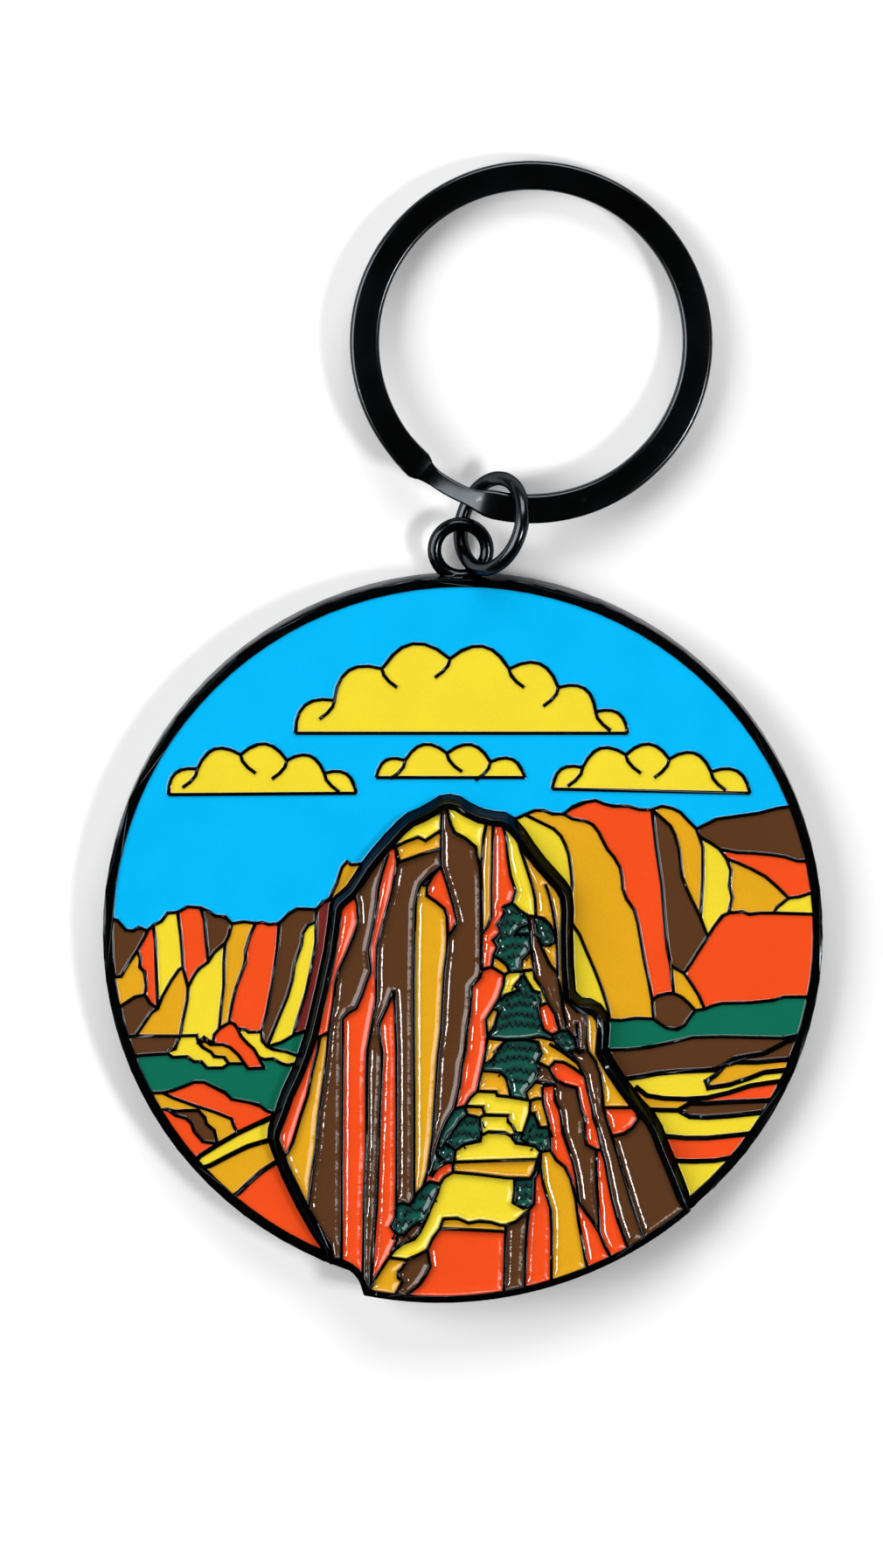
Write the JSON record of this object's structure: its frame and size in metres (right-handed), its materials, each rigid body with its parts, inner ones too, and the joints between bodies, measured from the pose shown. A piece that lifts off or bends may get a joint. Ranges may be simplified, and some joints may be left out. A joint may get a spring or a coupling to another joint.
{
  "type": "keychain",
  "caption": "Round enamelled souvenir medallion with a raised cliff scene, linked by its hanging eye and a jump ring to a flat split key ring.",
  "frame": {"origin": "centre of the round medallion's flat back face, which lies on the table", "axes": "+Z out of the enamelled front, +Y from the medallion towards its hanging eye and the rings, +X to the right of the picture"},
  "size_m": [0.05, 0.0796, 0.0062],
  "materials": {
    "black_nickel": "dark black-nickel plating, semi-gloss, on die-cast zinc alloy and on the steel rings",
    "enamel_blue": "glossy soft enamel, sky blue",
    "enamel_brown": "glossy soft enamel, brown",
    "enamel_gold": "glossy soft enamel, ochre",
    "enamel_green": "glossy soft enamel, green",
    "enamel_maroon": "glossy soft enamel, brick red",
    "enamel_orange": "glossy soft enamel, orange",
    "enamel_pine": "glossy soft enamel, dark green",
    "enamel_yellow": "glossy soft enamel, yellow"
  },
  "bodies": {
    "medallion": {"medallion_casting": "black_nickel", "enamel_bush": "enamel_pine", "enamel_cliff_brown_front": "enamel_brown", "enamel_cliff_brown_left": "enamel_brown", "enamel_cliff_brown_middle": "enamel_brown", "enamel_cliff_brown_right": "enamel_brown", "enamel_cliff_brown_streak": "enamel_brown", "enamel_cliff_foot_brown": "enamel_brown", "enamel_cliff_foot_gold": "enamel_gold", "enamel_cliff_foot_orange": "enamel_orange", "enamel_cliff_gold_front": "enamel_gold", "enamel_cliff_gold_left": "enamel_gold", "enamel_cliff_orange_left": "enamel_orange", "enamel_cliff_orange_middle": "enamel_orange", "enamel_cliff_orange_seam": "enamel_orange", "enamel_cliff_yellow_right": "enamel_yellow", "enamel_cloud_left": "enamel_yellow", "enamel_cloud_middle": "enamel_yellow", "enamel_cloud_right": "enamel_yellow", "enamel_cloud_upper": "enamel_yellow", "enamel_ledge_yellow": "enamel_yellow", "enamel_left_field_orange": "enamel_orange", "enamel_left_meadow": "enamel_green", "enamel_left_mesa_brown_inner": "enamel_brown", "enamel_left_mesa_brown_middle": "enamel_brown", "enamel_left_mesa_brown_outer": "enamel_brown", "enamel_left_mesa_gold_foot": "enamel_gold", "enamel_left_mesa_gold_inner": "enamel_gold", "enamel_left_mesa_gold_outer": "enamel_gold", "enamel_left_mesa_maroon": "enamel_maroon", "enamel_left_mesa_orange_inner": "enamel_orange", "enamel_left_mesa_orange_middle": "enamel_orange", "enamel_left_mesa_orange_outer": "enamel_orange", "enamel_left_mesa_yellow_middle": "enamel_yellow", "enamel_left_mesa_yellow_outer": "enamel_yellow", "enamel_left_rock_orange": "enamel_orange", "enamel_left_spire": "enamel_gold", "enamel_left_strata_gold": "enamel_gold", "enamel_left_strata_orange": "enamel_orange", "enamel_pine_lower": "enamel_pine", "enamel_pine_upper": "enamel_pine", "enamel_right_field_brown": "enamel_brown", "enamel_right_hill_brown": "enamel_brown", "enamel_right_hill_gold": "enamel_gold", "enamel_right_hill_orange": "enamel_orange", "enamel_right_meadow": "enamel_green", "enamel_right_mesa_brown": "enamel_brown", "enamel_right_mesa_gold": "enamel_gold", "enamel_right_mesa_gold_narrow": "enamel_gold", "enamel_right_mesa_orange": "enamel_orange", "enamel_right_mesa_yellow_middle": "enamel_yellow", "enamel_right_mesa_yellow_upper": "enamel_yellow", "enamel_right_plain_orange": "enamel_orange", "enamel_right_strata_yellow_lower": "enamel_yellow", "enamel_sky": "enamel_blue"},
    "jump_ring": {"jump_ring": "black_nickel"},
    "split_ring": {"split_ring": "black_nickel"},
    "split_ring_free_end": {"split_ring_free_end": "black_nickel"}
  },
  "joints": [
    {"name": "jump_ring_swing", "type": "hinge", "parent": "medallion", "child": "jump_ring", "pos_m": [0.00043, 0.02848, 0.0019], "axis": [0.948, -0.3182, 0], "range_deg": [-90, 0]},
    {"name": "split_ring_swing", "type": "hinge", "parent": "jump_ring", "child": "split_ring", "pos_m": [0.00104, 0.0303, 0.00288], "axis": [0.948, -0.3182, 0], "range_deg": [-60, 80]},
    {"name": "free_end_spring", "type": "hinge", "parent": "split_ring", "child": "split_ring_free_end", "pos_m": [-0.00409, 0.04865, 0.0025], "axis": [-0.7664, 0.6416, -0.0298], "range_deg": [0, 10], "stiffness_Nm_per_rad": 0.8}
  ]
}
